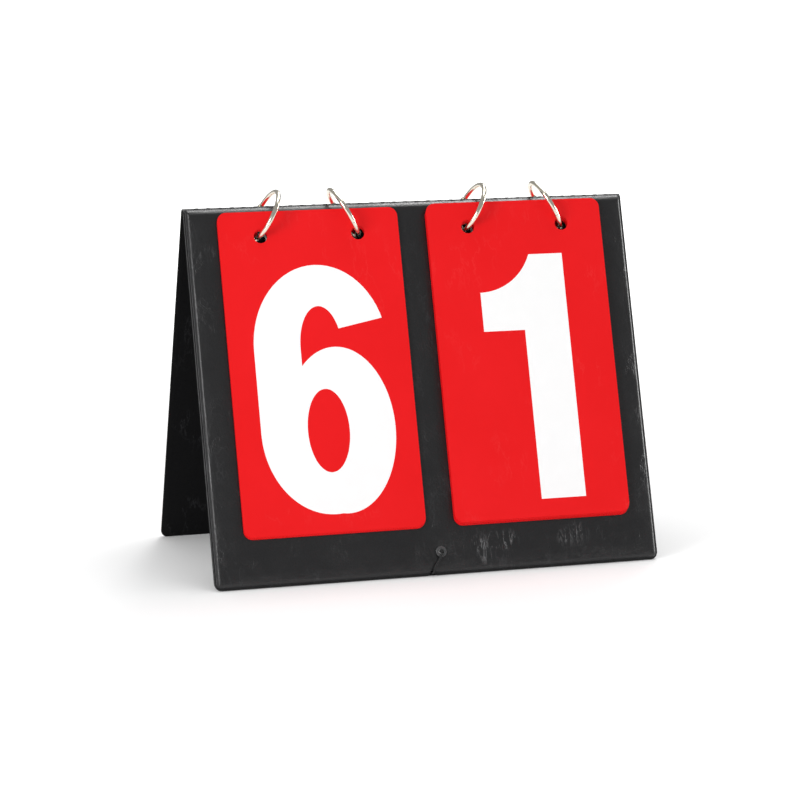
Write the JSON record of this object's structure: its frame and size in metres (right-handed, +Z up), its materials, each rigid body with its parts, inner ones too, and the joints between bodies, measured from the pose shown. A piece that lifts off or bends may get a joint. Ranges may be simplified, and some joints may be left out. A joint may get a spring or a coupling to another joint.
{
  "type": "tabletop flip scoreboard",
  "caption": "Tent-shaped tabletop score flipper: padded panels joined at the ridge, with piles of number cards on leaning, hinged wire rings.",
  "frame": {"origin": "on the table, below the middle of the ridge", "axes": "+X along the ridge to the right of someone who reads the front, +Y to the rear, +Z up"},
  "size_m": [0.2, 0.1118, 0.1626],
  "materials": {
    "leatherette": "satin, softly grained black vinyl leatherette",
    "lining": "matt black vinyl",
    "greyboard": "plain grey board",
    "foam": "thin white foam",
    "card_red": "satin red PVC sheet with white printed numerals",
    "ring_wire": "polished plated steel wire",
    "cord": "thin black cord",
    "eyelet": "black lacquered eyelet"
  },
  "bodies": {
    "front_panel": {"front_outer_skin": "leatherette", "front_inner_skin": "lining", "front_board": "greyboard", "front_foam": "foam", "ridge_fold": "leatherette", "tether_cord": "cord", "front_eyelet": "eyelet", "front_knot": "cord"},
    "rear_panel": {"rear_outer_skin": "leatherette", "rear_inner_skin": "lining", "rear_board": "greyboard", "rear_foam": "foam", "rear_eyelet": "eyelet", "rear_knot": "cord"},
    "left_card_9": {"left_card_9": "card_red"},
    "left_card_8": {"left_card_8": "card_red"},
    "left_card_7": {"left_card_7": "card_red"},
    "left_card_6": {"left_card_6": "card_red"},
    "left_card_0": {"left_card_0": "card_red"},
    "left_card_1": {"left_card_1": "card_red"},
    "left_card_2": {"left_card_2": "card_red"},
    "left_card_3": {"left_card_3": "card_red"},
    "left_card_4": {"left_card_4": "card_red"},
    "left_card_5": {"left_card_5": "card_red"},
    "right_card_9": {"right_card_9": "card_red"},
    "right_card_8": {"right_card_8": "card_red"},
    "right_card_7": {"right_card_7": "card_red"},
    "right_card_6": {"right_card_6": "card_red"},
    "right_card_5": {"right_card_5": "card_red"},
    "right_card_4": {"right_card_4": "card_red"},
    "right_card_3": {"right_card_3": "card_red"},
    "right_card_2": {"right_card_2": "card_red"},
    "right_card_1": {"right_card_1": "card_red"},
    "right_card_0": {"right_card_0": "card_red"},
    "left_outer_ring": {"left_outer_ring_half": "ring_wire", "left_outer_ring_rivet": "ring_wire"},
    "left_outer_ring_gate": {"left_outer_ring_gate": "ring_wire"},
    "left_inner_ring": {"left_inner_ring_half": "ring_wire", "left_inner_ring_rivet": "ring_wire"},
    "left_inner_ring_gate": {"left_inner_ring_gate": "ring_wire"},
    "right_inner_ring": {"right_inner_ring_half": "ring_wire", "right_inner_ring_rivet": "ring_wire"},
    "right_inner_ring_gate": {"right_inner_ring_gate": "ring_wire"},
    "right_outer_ring": {"right_outer_ring_half": "ring_wire", "right_outer_ring_rivet": "ring_wire"},
    "right_outer_ring_gate": {"right_outer_ring_gate": "ring_wire"}
  },
  "joints": [
    {"name": "fold", "type": "hinge", "parent": "front_panel", "child": "rear_panel", "pos_m": [0, 0, 0.15513], "axis": [1, 0, 0], "range_deg": [-37, 0], "deforming": ["tether_cord"]},
    {"name": "left_card_9_flip", "type": "hinge", "parent": "front_panel", "child": "left_card_9", "pos_m": [0, 0, 0.15073], "axis": [-1, 0, 0], "range_deg": [0, 3]},
    {"name": "left_card_8_flip", "type": "hinge", "parent": "left_card_9", "child": "left_card_8", "pos_m": [0, 0, 0.15073], "axis": [-1, 0, 0], "range_deg": [0, 3]},
    {"name": "left_card_7_flip", "type": "hinge", "parent": "left_card_8", "child": "left_card_7", "pos_m": [0, 0, 0.15073], "axis": [-1, 0, 0], "range_deg": [0, 3]},
    {"name": "left_card_6_flip", "type": "hinge", "parent": "left_card_7", "child": "left_card_6", "pos_m": [0, 0, 0.15073], "axis": [-1, 0, 0], "range_deg": [0, 70]},
    {"name": "left_card_0_flip", "type": "hinge", "parent": "rear_panel", "child": "left_card_0", "pos_m": [0, 0, 0.15098], "axis": [1, 0, 0], "range_deg": [0, 1]},
    {"name": "left_card_1_flip", "type": "hinge", "parent": "left_card_0", "child": "left_card_1", "pos_m": [0, 0, 0.15098], "axis": [1, 0, 0], "range_deg": [0, 1]},
    {"name": "left_card_2_flip", "type": "hinge", "parent": "left_card_1", "child": "left_card_2", "pos_m": [0, 0, 0.15098], "axis": [1, 0, 0], "range_deg": [0, 1]},
    {"name": "left_card_3_flip", "type": "hinge", "parent": "left_card_2", "child": "left_card_3", "pos_m": [0, 0, 0.15098], "axis": [1, 0, 0], "range_deg": [0, 1]},
    {"name": "left_card_4_flip", "type": "hinge", "parent": "left_card_3", "child": "left_card_4", "pos_m": [0, 0, 0.15098], "axis": [1, 0, 0], "range_deg": [0, 1]},
    {"name": "left_card_5_flip", "type": "hinge", "parent": "left_card_4", "child": "left_card_5", "pos_m": [0, 0, 0.15098], "axis": [1, 0, 0], "range_deg": [0, 10]},
    {"name": "right_card_9_flip", "type": "hinge", "parent": "front_panel", "child": "right_card_9", "pos_m": [0, 0, 0.15073], "axis": [-1, 0, 0], "range_deg": [0, 1]},
    {"name": "right_card_8_flip", "type": "hinge", "parent": "right_card_9", "child": "right_card_8", "pos_m": [0, 0, 0.15073], "axis": [-1, 0, 0], "range_deg": [0, 1]},
    {"name": "right_card_7_flip", "type": "hinge", "parent": "right_card_8", "child": "right_card_7", "pos_m": [0, 0, 0.15073], "axis": [-1, 0, 0], "range_deg": [0, 1]},
    {"name": "right_card_6_flip", "type": "hinge", "parent": "right_card_7", "child": "right_card_6", "pos_m": [0, 0, 0.15073], "axis": [-1, 0, 0], "range_deg": [0, 1]},
    {"name": "right_card_5_flip", "type": "hinge", "parent": "right_card_6", "child": "right_card_5", "pos_m": [0, 0, 0.15073], "axis": [-1, 0, 0], "range_deg": [0, 1]},
    {"name": "right_card_4_flip", "type": "hinge", "parent": "right_card_5", "child": "right_card_4", "pos_m": [0, 0, 0.15073], "axis": [-1, 0, 0], "range_deg": [0, 1]},
    {"name": "right_card_3_flip", "type": "hinge", "parent": "right_card_4", "child": "right_card_3", "pos_m": [0, 0, 0.15073], "axis": [-1, 0, 0], "range_deg": [0, 1]},
    {"name": "right_card_2_flip", "type": "hinge", "parent": "right_card_3", "child": "right_card_2", "pos_m": [0, 0, 0.15073], "axis": [-1, 0, 0], "range_deg": [0, 1]},
    {"name": "right_card_1_flip", "type": "hinge", "parent": "right_card_2", "child": "right_card_1", "pos_m": [0, 0, 0.15073], "axis": [-1, 0, 0], "range_deg": [0, 70]},
    {"name": "right_card_0_flip", "type": "hinge", "parent": "rear_panel", "child": "right_card_0", "pos_m": [0, 0, 0.15098], "axis": [1, 0, 0], "range_deg": [0, 18]},
    {"name": "left_outer_ring_lean", "type": "hinge", "parent": "front_panel", "child": "left_outer_ring", "pos_m": [-0.06896, 0, 0.14156], "axis": [0, -1, 0], "range_deg": [0, 25]},
    {"name": "left_outer_ring_gate_open", "type": "hinge", "parent": "left_outer_ring", "child": "left_outer_ring_gate", "pos_m": [-0.06258, 0.01164, 0.15326], "axis": [0.878, 0, -0.4787], "range_deg": [-50, 0]},
    {"name": "left_inner_ring_lean", "type": "hinge", "parent": "front_panel", "child": "left_inner_ring", "pos_m": [-0.02304, 0, 0.14156], "axis": [0, 1, 0], "range_deg": [0, 25]},
    {"name": "left_inner_ring_gate_open", "type": "hinge", "parent": "left_inner_ring", "child": "left_inner_ring_gate", "pos_m": [-0.02942, 0.01164, 0.15326], "axis": [0.878, 0, 0.4787], "range_deg": [-50, 0]},
    {"name": "right_inner_ring_lean", "type": "hinge", "parent": "front_panel", "child": "right_inner_ring", "pos_m": [0.02424, 0, 0.14156], "axis": [0, -1, 0], "range_deg": [0, 25]},
    {"name": "right_inner_ring_gate_open", "type": "hinge", "parent": "right_inner_ring", "child": "right_inner_ring_gate", "pos_m": [0.03062, 0.01164, 0.15326], "axis": [0.878, 0, -0.4787], "range_deg": [-50, 0]},
    {"name": "right_outer_ring_lean", "type": "hinge", "parent": "front_panel", "child": "right_outer_ring", "pos_m": [0.07016, 0, 0.14156], "axis": [0, 1, 0], "range_deg": [0, 25]},
    {"name": "right_outer_ring_gate_open", "type": "hinge", "parent": "right_outer_ring", "child": "right_outer_ring_gate", "pos_m": [0.06378, 0.01164, 0.15326], "axis": [0.878, 0, 0.4787], "range_deg": [-50, 0]}
  ],
  "couplings": [
    {"joint": "left_outer_ring_lean", "follows": "left_card_6_flip", "ratio": 0.34},
    {"joint": "left_inner_ring_lean", "follows": "left_card_6_flip", "ratio": 0.34},
    {"joint": "right_inner_ring_lean", "follows": "right_card_1_flip", "ratio": 0.34},
    {"joint": "right_outer_ring_lean", "follows": "right_card_1_flip", "ratio": 0.34}
  ]
}
